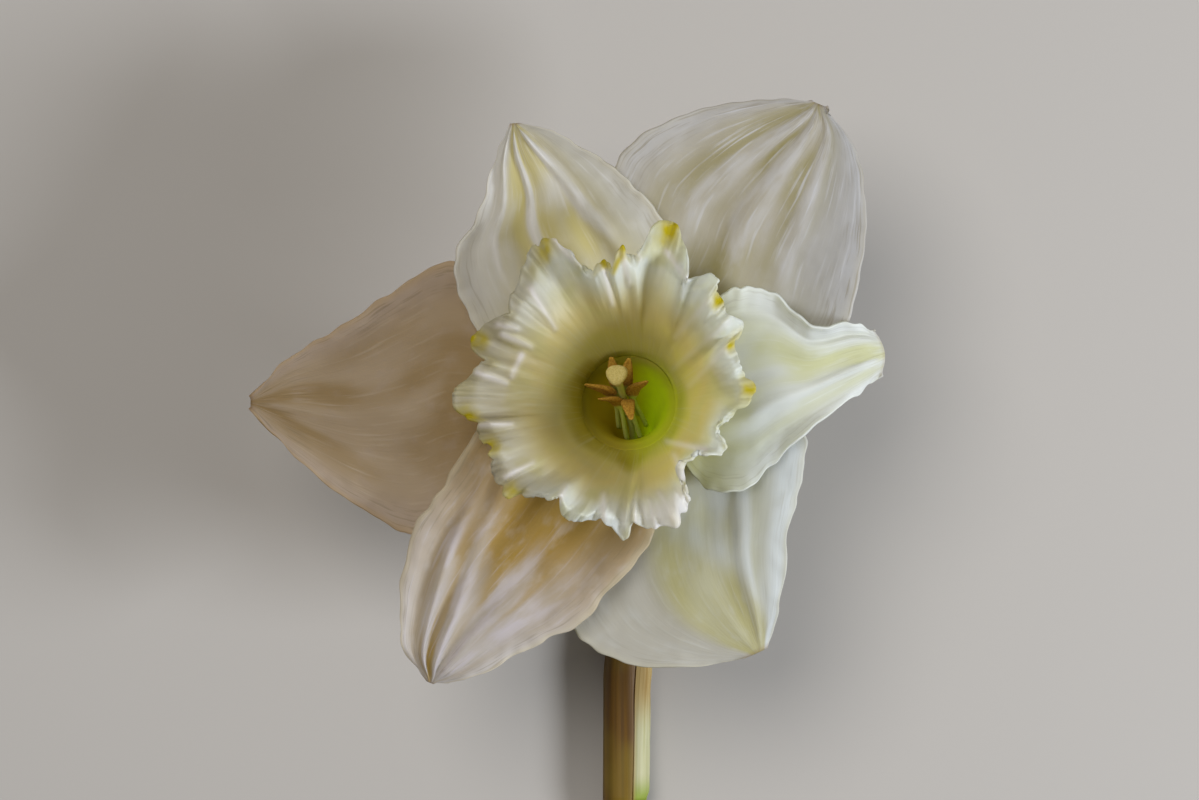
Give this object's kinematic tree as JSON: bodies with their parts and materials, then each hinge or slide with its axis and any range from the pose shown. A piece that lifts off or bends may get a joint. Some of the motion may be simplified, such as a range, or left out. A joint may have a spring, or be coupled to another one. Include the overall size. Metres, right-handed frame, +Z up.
{
  "type": "white daffodil, single bloom on a cut stem",
  "caption": "White daffodil with a ruffled cup, cut and laid down on its bare stem with the bloom facing up.",
  "frame": {"origin": "middle of the bounding box, on the surface the flower lies on", "axes": "+Z up, out of the bloom; the stem lies along Y with its cut end towards -Y"},
  "size_m": [0.101, 0.197, 0.0653],
  "materials": {
    "outer_white": "satin petal tissue, warm white with fine veins",
    "inner_white": "satin petal tissue, cool white with fine veins",
    "cup_cream": "satin petal tissue, cream with a green-gold throat",
    "stem_green": "smooth waxy green",
    "tube_green": "smooth waxy yellow-green",
    "paper_tan": "dry papery bract",
    "anther_brown": "matt brown anther",
    "stigma_cream": "matt cream"
  },
  "bodies": {
    "root": {"scape": "stem_green", "spathe": "paper_tan", "ovary": "stem_green", "floral_tube": "tube_green", "outer_petal_1": "outer_white", "outer_petal_2": "outer_white", "outer_petal_3": "outer_white", "inner_petal_1": "inner_white", "inner_petal_2": "inner_white", "inner_petal_3": "inner_white", "corona": "cup_cream", "stamen_1": "anther_brown", "stamen_2": "anther_brown", "stamen_3": "anther_brown", "stamen_4": "anther_brown", "stamen_5": "anther_brown", "stamen_6": "anther_brown", "pistil": "stigma_cream"}
  },
  "joints": []
}
